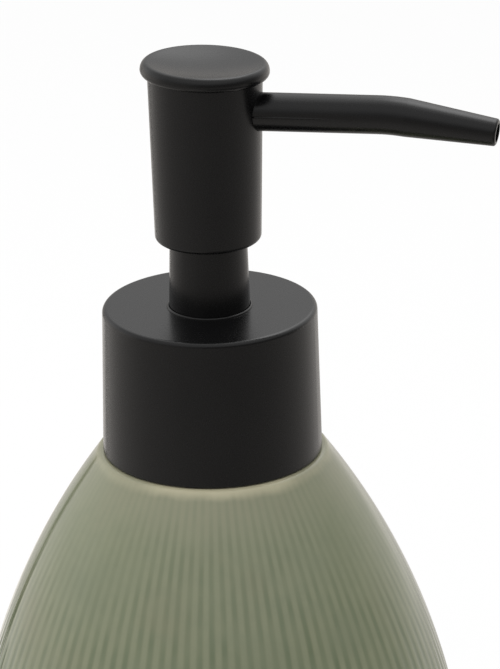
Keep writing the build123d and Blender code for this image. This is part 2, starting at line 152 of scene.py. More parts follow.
SEAM_R = 0.2 * MM
SEAM_SIDES = 8
SEAM_STEPS = 24
SEAM_SUNK = 0.35
SEAM_START = 9.4 * MM
SEAM_END = 28.0 * MM
SPOUT_Z = 163.4 * MM
SPOUT_RISE = math.radians(2.4)
SPOUT_R = 3.49 * MM

# ---- Camera ----

CAMERA_TURN = math.radians(15.2)
CAMERA_DROP = math.radians(21.43)
CAMERA_ROLL = math.radians(-1.0)
CAMERA_DISTANCE = 742.67 * MM
CAMERA_AIM = Vector((0, 0, 98.0 * MM))
CAMERA_ASIDE = 6.92 * MM
CAMERA_UP = 20.545 * MM
LENS = 215.25
SENSOR_W = 36.0
CLIP_END = 20.0


# ---- Small helpers ----

def mesh_object(name, points, faces, smooth=True):
    """A new object from points and faces, with its faces turned outwards."""
    mesh = bpy.data.meshes.new(name)
    mesh.from_pydata(points, [], faces)
    shell = bmesh.new()
    shell.from_mesh(mesh)
    bmesh.ops.recalc_face_normals(shell, faces=shell.faces)
    shell.to_mesh(mesh)
    shell.free()
    for face in mesh.polygons:
        face.use_smooth = smooth
    made = bpy.data.objects.new(name, mesh)
    bpy.context.scene.collection.objects.link(made)
    return made


def dress(obj, material):
    """Gives an object one material."""
    obj.data.materials.clear()
    obj.data.materials.append(material)


def smoothstep(value, low, high):
    """0 below low, 1 above high, and an eased way between."""
    share = min(max((value - low) / (high - low), 0.0), 1.0)
    return share * share * (3 - 2 * share)


def arc(centre, radius, start, end, count):
    """Points (radius, height) of an arc about a centre, by angle."""
    points = []
    for step in range(count + 1):
        turn = start + (end - start) * step / count
        points.append((centre[0] + radius * math.cos(turn), centre[1] + radius * math.sin(turn)))
    return points


def tangent_arc(start, end, angle, count):
    """Points of the arc that leaves start upwards, leaning in by angle, and ends at end."""
    inward = (-math.cos(angle), -math.sin(angle))
    across = (end[0] - start[0], end[1] - start[1])
    lean = inward[0] * across[0] + inward[1] * across[1]
    radius = (across[0] ** 2 + across[1] ** 2) / (2 * lean)
    centre = (start[0] + inward[0] * radius, start[1] + inward[1] * radius)
    last = math.atan2(end[1] - centre[1], end[0] - centre[0])
    return arc(centre, radius, angle, last, count)


def corner(before, point, after, reach, count=4):
    """Points that round a corner of a profile, starting and ending at reach from it."""
    first = Vector(before) - Vector(point)
    second = Vector(after) - Vector(point)
    start = Vector(point) + first.normalized() * reach
    end = Vector(point) + second.normalized() * reach
    made = []
    for step in range(count + 1):
        share = step / count
        made.append(tuple(
            start * (1 - share) ** 2 + Vector(point) * 2 * share * (1 - share) + end * share ** 2
        ))
    return made


def turned(name, profile, columns, shift=None):
    """A closed form turned about the axis from a profile of (radius, height) that starts and
    ends on the axis, or goes round a section clear of it. shift gives how far in and down a
    row's point at an angle is moved."""
    points, faces, rings = [], [], []
    for row, (radius, height) in enumerate(profile):
        if radius < ON_AXIS:
            rings.append([len(points)])
            points.append((0, 0, height))
            continue
        rings.append(range(len(points), len(points) + columns))
        for column in range(columns):
            turn = 2 * math.pi * column / columns
            inset, drop = shift(row, turn) if shift else (0, 0)
            points.append((
                (radius - inset) * math.cos(turn),
                (radius - inset) * math.sin(turn),
                height - drop,
            ))
    if len(rings[0]) > 1:
        rings.append(rings[0])
    for low, high in zip(rings, rings[1:]):
        for column in range(columns):
            after = (column + 1) % columns
            if len(low) == 1:
                faces.append((low[0], high[column], high[after]))
            elif len(high) == 1:
                faces.append((low[column], low[after], high[0]))
            else:
                faces.append((low[column], low[after], high[after], high[column]))
    return mesh_object(name, points, faces)


def tube(name, path, radius, facets):
    """A round wire along a path of points."""
    points, faces = [], []
    last = len(path) - 1
    for number, here in enumerate(path):
        way = (path[min(number + 1, last)] - path[max(number - 1, 0)]).normalized()
        side = way.cross(Vector((0, 0, 1))).normalized()
        rise = side.cross(way)
        for facet in range(facets):
            turn = 2 * math.pi * facet / facets
            points.append(here + (side * math.cos(turn) + rise * math.sin(turn)) * radius)
    for step in range(last):
        low, high = step * facets, (step + 1) * facets
        for facet in range(facets):
            after = (facet + 1) % facets
            faces.append((low + facet, low + after, high + after, high + facet))
    faces.append(tuple(range(facets)))
    faces.append(tuple(range(last * facets, (last + 1) * facets)))
    return mesh_object(name, points, faces)


# ---- Bottle ----

def bottle_inside():
    """The bottle's inside, from the middle of its floor up to the throat."""
    inner_r = BELLY_ARC_R - WALL
    floor_angle = -math.asin((BELLY_Z - FLOOR - FLOOR_CORNER * FLOOR_CORNER_DROP) / inner_r)
    wall = arc(BELLY_CENTRE, inner_r, floor_angle, SHOULDER_ANGLE, INSIDE_STEPS)
    floor_r = wall[0][0]
    middle, edge = (0, FLOOR), (floor_r - FLOOR_CORNER * FLOOR_CORNER_IN, FLOOR)
    throat = (NECK_BORE_R, SEAT_Z - THROAT_DROP)
    points = [middle, (floor_r / 2, FLOOR)]
    points += corner(middle, edge, wall[0], FLOOR_CORNER * FLOOR_CORNER_REACH, FLOOR_CORNER_STEPS)
    points += wall
    points += tangent_arc(wall[-1], throat, SHOULDER_ANGLE, INSIDE_STEPS)[1:]
    return points


def bottle_neck(throat):
    """The neck, from its bore over the rim and down to the seat."""
    rim_in, rim_out = (NECK_BORE_R, RIM_Z), (NECK_R, RIM_Z)
    points = corner(throat, rim_in, rim_out, SMALL_EDGE)
    points += corner(rim_in, rim_out, SEAT_IN, SMALL_EDGE)
    points += corner(rim_out, SEAT_IN, SEAT_OUT, SMALL_EDGE)
    return points


def bottle_outside():
    """The bottle's outside, from the seat's edge over shoulder and belly to the foot."""
    foot_angle = -math.asin((BELLY_Z - FOOT_BEVEL) / BELLY_ARC_R)
    belly = arc(BELLY_CENTRE, BELLY_ARC_R, foot_angle, SHOULDER_ANGLE, BELLY_STEPS)
    shoulder = tangent_arc(belly[-1], SEAT_OUT, SHOULDER_ANGLE, SHOULDER_STEPS)
    points = corner(SEAT_IN, SEAT_OUT, shoulder[-2], SEAT_EDGE)
    points += reversed(shoulder[:-1])
    points += reversed(belly[:-1])
    points += corner(belly[0], (FOOT_R, 0), (FOOT_R - FOOT_WIDTH, 0), SMALL_EDGE)
    return points


def bottle_underside():
    """The foot's inner edge and the recess within it, to the middle."""
    recess_r = FOOT_R - FOOT_WIDTH
    foot_inner, recess = (recess_r, 0), (recess_r, FOOT_RECESS)
    points = corner((FOOT_R, 0), foot_inner, recess, SMALL_EDGE)
    points += corner(foot_inner, recess, (0, FOOT_RECESS), SMALL_EDGE)
    return points + [(recess_r / 2, FOOT_RECESS), (0, FOOT_RECESS)]


def glazed_bottle():
    """The ceramic bottle with soft reeding: rounded ribs and shallow valleys that start at the
    foot and fade out below the collar."""
    inside = bottle_inside()
    inside += bottle_neck(inside[-1])
    outside = bottle_outside()
    profile = inside + outside + bottle_underside()
    reeded = range(len(inside), len(inside) + len(outside))

    def reeding(row, turn):
        if row not in reeded:
            return 0, 0
        height = profile[row][1]
        share = 1 - (1 - RIB_SHALLOW) * smoothstep(height, RIB_FULL_Z, RIB_SHALLOW_Z)
        share *= 1 - smoothstep(height, RIB_SHALLOW_Z, RIB_END_Z)
        share *= smoothstep(height, RIB_OUT_Z, RIB_FOOT_Z)
        valley = (0.5 + 0.5 * math.cos(RIB_COUNT * turn)) ** RIB_CREST
        way = (Vector(profile[row - 1]) - Vector(profile[row + 1])).normalized()
        depth = RIB_DEPTH * share * valley
        return depth * way.y, -depth * way.x

    return turned("bottle_glazed", profile, RIB_COUNT * RIB_COLUMNS, reeding)


# ---- Threads and spring ----

def thread(name, root_r, crest_r, start_z):
    """A right-handed screw thread that grows out of the wall and dies back into it."""
    total = int(THREAD_TURNS * THREAD_STEPS)
    sunk = root_r - math.copysign(THREAD_SINK, crest_r - root_r)
    points, faces = [], []
    for step in range(total + 1):
        turn = 2 * math.pi * step / THREAD_STEPS
        grown = smoothstep(min(step, total - step) / THREAD_FADE, 0, 1)
        crest = root_r + (crest_r - root_r) * max(grown, THREAD_LEAST)
        middle = start_z + THREAD_PITCH * step / THREAD_STEPS
        for radius, side in (
            (sunk, -THREAD_ROOT_W / 2),
            (crest, -THREAD_CREST_W / 2),
            (crest, THREAD_CREST_W / 2),
            (sunk, THREAD_ROOT_W / 2),
        ):
            points.append((radius * math.cos(turn), radius * math.sin(turn), middle + side))
    for step in range(total):
        low, high = step * 4, step * 4 + 4
        for side in range(4):
            after = (side + 1) % 4
            faces.append((low + side, low + after, high + after, high + side))
    faces.append((0, 1, 2, 3))
    faces.append(tuple(total * 4 + side for side in range(4)))
    return mesh_object(name, points, faces)


def coil_point(step, total):
    """A point of the spring's wire: a closed turn at each end and even turns between."""
    share = step / total
    free = (SPRING_HIGH_Z - SPRING_LOW_Z) - 2 * WIRE_R
    closed = 2 * WIRE_R
    end_share = 1 / SPRING_TURNS
    if share < end_share:
        rise = closed * (share / end_share) ** 2
    elif share > 1 - end_share:
        rise = free - closed * ((1 - share) / end_share) ** 2
    else:
        rise = closed + (free - 2 * closed) * (share - end_share) / (1 - 2 * end_share)
    angle = 2 * math.pi * SPRING_TURNS * share
    return Vector((
        SPRING_R * math.cos(angle),
        SPRING_R * math.sin(angle),
        SPRING_LOW_Z + WIRE_R + rise,
    ))


def spring():
    """The return spring as one round wire."""
    total = SPRING_TURNS * SPRING_STEPS
    path = [coil_point(step, total) for step in range(total + 1)]
    return tube("spring_wire", path, WIRE_R, WIRE_SIDES)


# ---- Pump top ----

def disc():
    """The disc on the head: a full rounded rim round a shallow dish, leaning a little forwards
    and back, with the plug that holds it in the head's bore."""
    rim = (DISC_R - DISC_EDGE_W, 0)
    under_arc = arc(rim, DISC_EDGE_W, -math.pi / 2, 0, DISC_UNDER_STEPS)
    over_arc = arc(rim, DISC_EDGE_W, 0, DISC_OVER, DISC_STEPS)
    lower = [(r, z * DISC_LOWER_H / DISC_EDGE_W) for r, z in under_arc]
    upper = [(r, z * DISC_UPPER_H / DISC_EDGE_W) for r, z in over_arc[1:]]
    edge_r, edge_z = upper[-1]
    bottom_z = DISC_UPPER_H - DISC_DISH_DEPTH
    dish_r = (edge_r ** 2 + (edge_z - bottom_z) ** 2) / (2 * (edge_z - bottom_z))
    dish_start = math.asin(edge_r / dish_r) - math.pi / 2
    dish = arc((0, bottom_z + dish_r), dish_r, dish_start, -math.pi / 2, DISC_STEPS)
    foot, foot_edge = (0, PLUG_Z - DISC_MID_Z), (PLUG_R, PLUG_Z - DISC_MID_Z)
    root = (PLUG_R, -DISC_LOWER_H)
    plug = [foot] + corner(foot, foot_edge, root, SMALL_EDGE) + [root]
    profile = plug + lower + upper + dish[1:-1] + [(0, bottom_z)]
    made = turned("head_disc", profile, DISC_COLUMNS)
    lean = Matrix.Rotation(DISC_FORWARD, 4, "Y") @ Matrix.Rotation(-DISC_BACK, 4, "X")
    made.data.transform(Matrix.Translation((0, 0, DISC_MID_Z)) @ lean)
    return made


def hole_lip():
    """The small rounded lip round the hole in the collar's top."""
    base_z, top_z = COLLAR_TOP_Z - LIP_SINK, COLLAR_TOP_Z + LIP_H
    crown = [
        (LIP_CREST_R + (LIP_OUT_R - LIP_CREST_R) * r, COLLAR_TOP_Z + LIP_H * z)
        for r, z in arc((0, 0), 1, math.pi / 2, 0, LIP_STEPS)
    ]
    inner = [(LIP_IN_R, base_z), (LIP_IN_R, top_z - (LIP_CREST_R - LIP_IN_R))]
    return turned("hole_lip", inner + crown + [(LIP_OUT_R, base_z)], LIP_COLUMNS)


def spout_seam(name, side):
    """The parting line that the mould leaves along one side of the spout."""
    path = []
    for step in range(SEAM_STEPS + 1):
        along = SEAM_START + (SEAM_END - SEAM_START) * step / SEAM_STEPS
        sunk = SEAM_R * (SEAM_SUNK + (1 - SEAM_SUNK) * step / SEAM_STEPS)
        path.append(Vector((
            along, side * (SPOUT_R - sunk), SPOUT_Z + along * math.tan(SPOUT_RISE),
        )))
    return tube(name, path, SEAM_R, SEAM_SIDES)


# ---- Nodes ----

# Spans of a noise's values that are stretched to the whole, from a strong stretch to a mild one
NARROW = (0.3, 0.7)
MIDDLE = (0.25, 0.75)
WIDE = (0.2, 0.8)

# The numbers of a colour Mix node's two colours
MIX_FIRST = 6
MIX_SECOND = 7


class Nodes:
    """Short ways to write a node tree."""

    def __init__(self, tree):
        self.tree = tree
        tree.nodes.clear()

    def link(self, source, target):
        """Links two sockets."""
        self.tree.links.new(source, target)

    def add(self, kind, inputs=None, **settings):
        """A node with settings, and inputs by name or number: a value or a socket to link."""
        made = self.tree.nodes.new("ShaderNode" + kind)
        for key, value in settings.items():
            setattr(made, key, value)
        for key, value in (inputs or {}).items():
            if isinstance(value, bpy.types.NodeSocket):
                self.link(value, made.inputs[key])
            else:
                made.inputs[key].default_value = value
        return made

    def calc(self, operation, first, second=0.0):
        """One step of arithmetic."""
        return self.add("Math", {0: first, 1: second}, operation=operation).outputs[0]

    def chain(self, operation, *values):
        """Several values added or multiplied, one after another."""
        made = values[0]
        for value in values[1:]:
            made = self.calc(operation, made, value)
        return made

    def between(self, value, low, high, start=0.0, end=1.0, kind="SMOOTHSTEP"):
        """value carried from low..high to start..end."""
        inputs = {"Value": value, "From Min": low, "From Max": high, "To Min": start, "To Max": end}
        return self.add("MapRange", inputs, interpolation_type=kind).outputs[0]

    def mix(self, share, first, second):
        """A number between two."""
        return self.add("Mix", {"Factor": share, 2: first, 3: second}).outputs[0]

    def blend(self, share, first, second):
        """A colour between two, each a colour or a socket."""
        made = self.add("Mix", {"Factor": share}, data_type="RGBA")
        for number, value in ((MIX_FIRST, first), (MIX_SECOND, second)):
            if isinstance(value, bpy.types.NodeSocket):
                self.link(value, made.inputs[number])
            else:
                made.inputs[number].default_value = (*value, 1.0)
        return made.outputs[2]

    def shade(self, share, first, second):
        """A shader between two."""
        return self.add("MixShader", {0: share, 1: first, 2: second}).outputs[0]

    def light(self, kind, colour, strength):
        """A background or an emission."""
        return self.add(kind, {"Color": colour, "Strength": strength}).outputs[0]

    def noise(self, where, scale, detail=2.0, rough=0.5):
        """Noise, 0 to 1, with scale in waves per metre."""
        inputs = {"Vector": where, "Scale": scale, "Detail": detail, "Roughness": rough}
        return self.add("TexNoise", inputs).outputs[0]


def new_material(name):
    """A material with a Principled shader, its nodes and the place on the object."""
    material = bpy.data.materials.new(name)
    material.use_nodes = True
    nodes = Nodes(material.node_tree)
    shader = nodes.add("BsdfPrincipled")
    nodes.add("OutputMaterial", {0: shader.outputs[0]})
    place = nodes.add("TexCoord").outputs["Object"]
    return material, nodes, shader, place


def emboss(nodes, shader, height, strength, depth):
    """Gives a shader a fine relief."""
    bump = nodes.add("Bump", {"Strength": strength, "Distance": depth, "Height": height})
    nodes.link(bump.outputs[0], shader.inputs["Normal"])


# ---- Glaze ----

RIDGE_GREEN = (0.230, 0.246, 0.160)
VALLEY_GREEN = (0.143, 0.170, 0.103)
KHAKI = (0.222, 0.216, 0.142)
COOL_GREEN = (0.178, 0.202, 0.132)
# A lighter glaze colour, painted below the collar on one side as a highlight
PAINTED_HIGHLIGHT_GLAZE = (0.275, 0.275, 0.190)
CREAM = (0.54, 0.50, 0.345)
BARE_CLAY = (0.62, 0.56, 0.47)

# The side where a painted highlight lightens the glaze below the collar, and the one where
# painted shade keeps the valley stripes crisp and painted light keeps the cream edge strong. Each
# span says where that comes, from 0 abreast of the side to 1 turned to it, and each share how
# strong it is away from the side and at it.
PAINTED_HIGHLIGHT_SIDE = math.radians(-90)
PAINTED_HIGHLIGHT_SPAN = (0.70, 1.0)
PAINTED_HIGHLIGHT_SHARE = (0.45, 0.75)
PAINTED_HIGHLIGHT_IN_VALLEY = 0.8
PAINTED_SHADE_SIDE = math.radians(-70)
PAINTED_SHADE_SPAN = (0.65, 0.95)
# How strong the cream edge is away from that side and at it: painted light and shade
CREAM_WITH_PAINTED_SHADE_SHARE = (0.28, 0.8)

# Valleys take all of the ribs' wave but the crests, and vary in strength along their length.
# Between two heights they fade to a last share, on the painted shade side and on the flanks: the
# glaze pooled in the valleys is its own colour, and the stronger stripes kept on that side are
# painted shade.
VALLEY_WAVE = (-0.9, 1.0)
VALLEY_SHARE = (0.5, 1.1)
STRIPE_FULL_Z = 68.0 * MM
STRIPE_END_Z = 98.0 * MM
STRIPE_END = 0.42
FLANK_FULL_Z = 62.0 * MM
FLANK_END_Z = 90.0 * MM
FLANK_END = 0.15

# Heights where the painted highlight below the collar and the cream edge start and are full, how
# much these wander, and where the bare foot starts and is full
PAINTED_HIGHLIGHT_Z = (SEAT_Z - 11.0 * MM, SEAT_Z - 1.0 * MM)
CREAM_Z = (SEAT_Z - 1.9 * MM, SEAT_Z - 0.1 * MM)
WANDER = 0.35 * MM
BARE_Z = (1.3 * MM, 0.9 * MM)

# Grains of the glaze in waves per metre, the spans of its patches and specks and their shares,
# its gloss and its relief
PATCH_GRAIN = 55.0
WARM_PATCHES = (0.45, 0.75)
COOL_PATCHES = (0.5, 0.28)
PATCH_SHARE = 0.4
WANDER_GRAIN = 130.0
RIPPLE_GRAIN = 240.0
STREAK_GRAIN = 330.0
STREAK_SQUEEZE = (1.0, 1.0, 0.12)
FINE_GRAIN = 420.0
SPECKS = (0.35, 0.75)
SPECK_SHARE = 0.25
PIT_GRAIN = 1500.0
PIT_SHARE = 0.2
SHEEN = (0.06, 0.11)
CLAY_ROUGH = 0.75
GLASS_IOR = 1.5
GLAZE_BUMP = 0.12
GLAZE_RELIEF = 0.08 * MM


def towards(nodes, angle, side):
    """1 on one side of the axis, -1 on the other."""
    return nodes.calc("COSINE", nodes.calc("SUBTRACT", angle, side))


def stripes(nodes, place, z, angle, painted_shade_facing):
    """How deep the glaze lies in the valleys, uneven along each one. Returns that by itself, and
    with the fading towards the collar, which is stronger on the flanks: what the stripes keep on
    one side past that is painted shade."""
    wave = nodes.calc("COSINE", nodes.calc("MULTIPLY", angle, float(RIB_COUNT)))
    along = nodes.add("Mapping", {"Vector": place, "Scale": STREAK_SQUEEZE}).outputs[0]
    streaks = nodes.between(nodes.noise(along, STREAK_GRAIN, 1.0), *MIDDLE, *VALLEY_SHARE)
    valley = nodes.calc("MULTIPLY", nodes.between(wave, *VALLEY_WAVE), streaks)
    # Painted shade: the stripes keep more of their depth on one side than on the flanks
    front = nodes.between(z, STRIPE_FULL_Z, STRIPE_END_Z, 1.0, STRIPE_END, kind="LINEAR")
    flank = nodes.between(z, FLANK_FULL_Z, FLANK_END_Z, 1.0, FLANK_END)
    return valley, nodes.calc("MULTIPLY", valley, nodes.mix(painted_shade_facing, flank, front))


def mottled(nodes, body, patches, fine):
    """The glaze's colour with broad warm and cool patches and fine cool specks."""
    warm = nodes.between(patches, *WARM_PATCHES, 0.0, PATCH_SHARE)
    cool = nodes.between(patches, *COOL_PATCHES, 0.0, PATCH_SHARE)
    specks = nodes.between(fine, *SPECKS, 0.0, SPECK_SHARE)
    body = nodes.blend(cool, nodes.blend(warm, body, KHAKI), COOL_GREEN)
    return nodes.blend(specks, body, COOL_GREEN)


def painted_highlight_and_cream(nodes, body, place, z, side, painted_shade_facing, valley):
    """The glaze's colour with a painted highlight, a lighter glaze below the collar on one side,
    and with the break to cream at the seat.
    """
    wander = nodes.between(nodes.noise(place, WANDER_GRAIN, 3.0), *NARROW, -WANDER, WANDER)
    height = nodes.calc("ADD", z, wander)
    # Painted highlight: a lighter glaze below the collar on one side, less of it in the valleys
    painted_highlight = nodes.chain(
        "MULTIPLY",
        nodes.between(height, *PAINTED_HIGHLIGHT_Z),
        nodes.between(side, *PAINTED_HIGHLIGHT_SPAN, *PAINTED_HIGHLIGHT_SHARE),
        nodes.between(valley, 0.0, 1.0, 1.0, PAINTED_HIGHLIGHT_IN_VALLEY),
    )
    # Painted light and shade: the cream edge strong on one side and weaker away from it
    strength = nodes.between(painted_shade_facing, 0.0, 1.0, *CREAM_WITH_PAINTED_SHADE_SHARE)
    edge = nodes.calc("MULTIPLY", nodes.between(height, *CREAM_Z), strength)
    return nodes.blend(edge, nodes.blend(painted_highlight, body, PAINTED_HIGHLIGHT_GLAZE), CREAM)


def glaze():
    """A glossy sage glaze, deeper in the valleys, with a painted highlight below the collar on one
    side, cream where it breaks over the seat's edge, over a bare foot. Painted light and shade make
    the valleys darker and the cream edge brighter on one side."""
    material, nodes, shader, place = new_material("sage_glaze")
    x, y, z = nodes.add("SeparateXYZ", {0: place}).outputs
    angle = nodes.calc("ARCTAN2", y, x)
    # The side of the painted highlight below the collar
    side = towards(nodes, angle, PAINTED_HIGHLIGHT_SIDE)
    # The side of the painted shade in the valleys and the painted light on the cream edge
    painted_shade_facing = nodes.between(towards(nodes, angle, PAINTED_SHADE_SIDE), *PAINTED_SHADE_SPAN)
    patches = nodes.noise(place, PATCH_GRAIN, 3.0)
    fine = nodes.noise(place, FINE_GRAIN, 4.0)
    # depth carries the glaze pooled in the valleys, with painted shade added on one side
    valley, depth = stripes(nodes, place, z, angle, painted_shade_facing)
    body = mottled(nodes, nodes.blend(depth, RIDGE_GREEN, VALLEY_GREEN), patches, fine)
    # Adds the painted highlight below the collar and the cream edge at the seat
    body = painted_highlight_and_cream(nodes, body, place, z, side, painted_shade_facing, valley)
    bare = nodes.between(z, *BARE_Z)
    sheen = nodes.between(fine, *WIDE, *SHEEN)
    rough = nodes.calc("MAXIMUM", sheen, nodes.calc("MULTIPLY", bare, CLAY_ROUGH))
    nodes.link(nodes.blend(bare, body, BARE_CLAY), shader.inputs["Base Color"])
    nodes.link(rough, shader.inputs["Roughness"])
    shader.inputs["IOR"].default_value = GLASS_IOR
    ripple = nodes.calc("MULTIPLY", nodes.noise(place, RIPPLE_GRAIN), 1.0 - PIT_SHARE)
    pits = nodes.calc("MULTIPLY", nodes.noise(place, PIT_GRAIN), PIT_SHARE)
    emboss(nodes, shader, nodes.calc("ADD", ripple, pits), GLAZE_BUMP, GLAZE_RELIEF)
    return material


# ---- Plastics, rubber, steel and glass ----

# Grains in waves per metre, the roughness of the harsher noises, the colours, the ranges of the
# gloss, and the strength and depth of each relief
HARSH = 0.6
PLASTIC_BROAD = 90.0
PLASTIC_GRAIN = 2600.0
PLASTIC_RELIEF = 0.03 * MM
GLOSS_SPREAD = 0.03
RUBBER_GRAIN = 700.0
RUBBER_CLEAN = (0.66, 0.65, 0.61)
RUBBER_DUSTY = (0.76, 0.75, 0.71)
DUSTY_SPAN = (0.35, 0.7)
RUBBER_ROUGH = (0.62, 0.78)
RUBBER_BUMP = 0.3
RUBBER_RELIEF = 0.05 * MM
WIRE_GRAIN = 1800.0
WIRE_SQUEEZE = (1.0, 1.0, 9.0)
WIRE_DULL = (0.55, 0.55, 0.54)
WIRE_BRIGHT = (0.66, 0.66, 0.65)
WIRE_ROUGH = (0.2, 0.38)
WIRE_BUMP = 0.2
WIRE_RELIEF = 0.02 * MM
BALL_GRAIN = 2200.0
BALL_GREEN = (0.86, 0.93, 0.9)
BALL_PALE = (0.93, 0.97, 0.95)
BALL_ROUGH = (0.03, 0.1)
BALL_BUMP = 0.1
BALL_RELIEF = 0.01 * MM


def plastic(name, colour, fleck, rough, specular, grain):
    """A moulded plastic with a fine grain, and a colour and gloss that vary a little."""
    material, nodes, shader, place = new_material(name)
    broad = nodes.noise(place, PLASTIC_BROAD)
    fine = nodes.noise(place, PLASTIC_GRAIN, 2.0, HARSH)
    body = nodes.blend(nodes.between(broad, *NARROW), colour, fleck)
    gloss = nodes.between(fine, *MIDDLE, rough - GLOSS_SPREAD, rough + GLOSS_SPREAD)
    nodes.link(body, shader.inputs["Base Color"])
    nodes.link(gloss, shader.inputs["Roughness"])
    shader.inputs["Specular IOR Level"].default_value = specular
    emboss(nodes, shader, fine, grain, PLASTIC_RELIEF)
    return material


def rubber():
    """A soft pale seal with a dull, slightly dusty face."""
    material, nodes, shader, place = new_material("seal_rubber")
    dust = nodes.noise(place, RUBBER_GRAIN, 4.0, HARSH)
    body = nodes.blend(nodes.between(dust, *DUSTY_SPAN), RUBBER_CLEAN, RUBBER_DUSTY)
    nodes.link(body, shader.inputs["Base Color"])
    nodes.link(nodes.between(dust, *NARROW, *RUBBER_ROUGH), shader.inputs["Roughness"])
    emboss(nodes, shader, dust, RUBBER_BUMP, RUBBER_RELIEF)
    return material


def drawn_wire():
    """Bright drawn steel with fine marks."""
    material, nodes, shader, place = new_material("drawn_steel")
    squeezed = nodes.add("Mapping", {"Vector": place, "Scale": WIRE_SQUEEZE}).outputs[0]
    marks = nodes.noise(squeezed, WIRE_GRAIN, 3.0)
    body = nodes.blend(marks, WIRE_DULL, WIRE_BRIGHT)
    nodes.link(body, shader.inputs["Base Color"])
    nodes.link(nodes.between(marks, *NARROW, *WIRE_ROUGH), shader.inputs["Roughness"])
    shader.inputs["Metallic"].default_value = 1.0
    emboss(nodes, shader, marks, WIRE_BUMP, WIRE_RELIEF)
    return material


def ball_glass():
    """Clear glass with a faint green and a finely ground surface."""
    material, nodes, shader, place = new_material("valve_glass")
    ground = nodes.noise(place, BALL_GRAIN, 3.0)
    body = nodes.blend(ground, BALL_GREEN, BALL_PALE)
    nodes.link(body, shader.inputs["Base Color"])
    nodes.link(nodes.between(ground, *NARROW, *BALL_ROUGH), shader.inputs["Roughness"])
    shader.inputs["Transmission Weight"].default_value = 1.0
    shader.inputs["IOR"].default_value = GLASS_IOR
    emboss(nodes, shader, ground, BALL_BUMP, BALL_RELIEF)
    return material


# ---- Studio ----

WHITE = (1.0, 1.0, 1.0)
WARM = (1.0, 0.955, 0.91)
FLOOR_SIZE = 6.0
FLOOR_DROP = 0.2 * MM
FLOOR_WHITE = 0.86
FLOOR_SPECK = 0.01
FLOOR_GRAIN = 30.0
FLOOR_GLOW = 0.8
AMBIENT_LOW = 0.46
AMBIENT_HIGH = 0.68

# How bright gloss shows the table and the room, by the angle from the middle of the backdrop,
# left to right: the near side is dim and the backdrop bright.
AROUND = (
    (-180, 0.28), (-150, 0.30), (-135, 0.35), (-110, 0.40), (-98, 0.43), (-65, 0.52),
    (-43, 0.64), (-28, 0.72), (-10, 0.72), (0, 0.66), (16, 0.73), (27, 0.72), (41, 0.62),
    (55, 0.52), (60, 0.48), (80, 0.41), (102, 0.34), (120, 0.29), (150, 0.26), (180, 0.28),
)

# What stands on the horizon, by the same angle. SOFT and CRISP are the widths of edges, and RISE
# and FALL say where an edge starts and ends.
PANEL_LEFT = math.radians(-92)
PANEL_RIGHT = math.radians(-34)
PANEL_SOFT = 0.25
PANEL_CRISP = 0.02
PANEL_LEVEL = 0.33
GLOW_LEFT = math.radians(15)
GLOW_RIGHT = math.radians(75)
GLOW_SOFT = 0.2
GLOW_LEVEL = 0.33
GAP_LEFT = math.radians(-33.9)
GAP_RIGHT = math.radians(-29.2)
GAP_CRISP = 0.008
FRINGE_RISE = (-0.75, -0.5)
FRINGE_FALL = (-0.1, 0.1)
FRINGE_LEVEL = 0.35
LIFT_LEVEL = 0.06
DARK_TURN = math.radians(130)
NEAR_DIP = 0.5
FAR_DIP = 0.22
BOUNCE_LEFT = 0.45
BOUNCE_RIGHT = 0.12
ROOM_LEVEL = 0.62

# Where these start and end in height, from -1 straight down to 1 straight up
PANEL_FOOT = (-0.30, -0.20)
LIFT_TOP = (-0.36, -0.32)
GAP_TOP = (-0.04, -0.02)
DIP_FOOT = (-0.20, -0.08)
DIP_TOP = (0.28, 0.45)
BOUNCE_TOP = (-0.56, -0.46)
ROOM_FOOT = (0.20, 0.75)
WHITE_FOOT = (0.05, 0.3)
AMBIENT_SPAN = (-0.2, 1.0)

# Where these start and end as a direction turns from abreast, 0, to the dark side or to the
# backdrop, 1
NEAR_DIP_SPAN = (0.1, 0.7)
BOUNCE_SPAN = (0.25, 0.55)
FAR_DIP_SPAN = (0.6, 0.9)

# Round lights above: how far each is turned to the right and raised, and its soft edge
OVERHEAD_TURN = math.radians(22)
OVERHEAD_RISE = math.radians(60)
OVERHEAD_INNER = math.radians(11)
OVERHEAD_OUTER = math.radians(19)
OVERHEAD_LEVEL = 1.8
HALO_INNER = math.radians(20)
HALO_OUTER = math.radians(45)
HALO_LEVEL = 0.5
WINDOW_TURN = math.radians(12)
WINDOW_RISE = math.radians(36)
WINDOW_INNER = math.radians(5)
WINDOW_OUTER = math.radians(16)
WINDOW_LEVEL = 0.5


def seen(nodes):
    """1 for the rays that show the background: the camera's, and those of gloss and glass."""
    path = nodes.add("LightPath").outputs
    shown = nodes.calc("MAXIMUM", path["Is Camera Ray"], path["Is Glossy Ray"])
    return nodes.calc("MAXIMUM", shown, path["Is Transmission Ray"])


def dot(nodes, way, other):
    """The dot product of a direction and a fixed one."""
    inputs = {0: way, 1: other}
    return nodes.add("VectorMath", inputs, operation="DOT_PRODUCT").outputs["Value"]


def heading(ahead, aside, turn, rise=0.0):
    """The direction at an angle to the right of the middle of the backdrop, and a rise."""
    level = Vector(ahead) * math.cos(turn) + Vector(aside) * math.sin(turn)
    return tuple(level * math.cos(rise) + Vector((0, 0, math.sin(rise))))


def patch(nodes, way, middle, inner, outer, level):
    """A round soft light about a direction."""
    near = dot(nodes, way, middle)
    return nodes.between(near, math.cos(outer), math.cos(inner), 0.0, level)


def above(nodes, value, edge):
    """1 past an edge, 0 before it."""
    return nodes.between(value, *edge)


def below(nodes, value, edge):
    """1 before an edge, 0 past it."""
    return nodes.between(value, *edge, 1.0, 0.0)


def within(nodes, value, rise, fall):
    """1 between a rising and a falling edge, 0 outside them."""
    return nodes.calc("MULTIPLY", above(nodes, value, rise), below(nodes, value, fall))


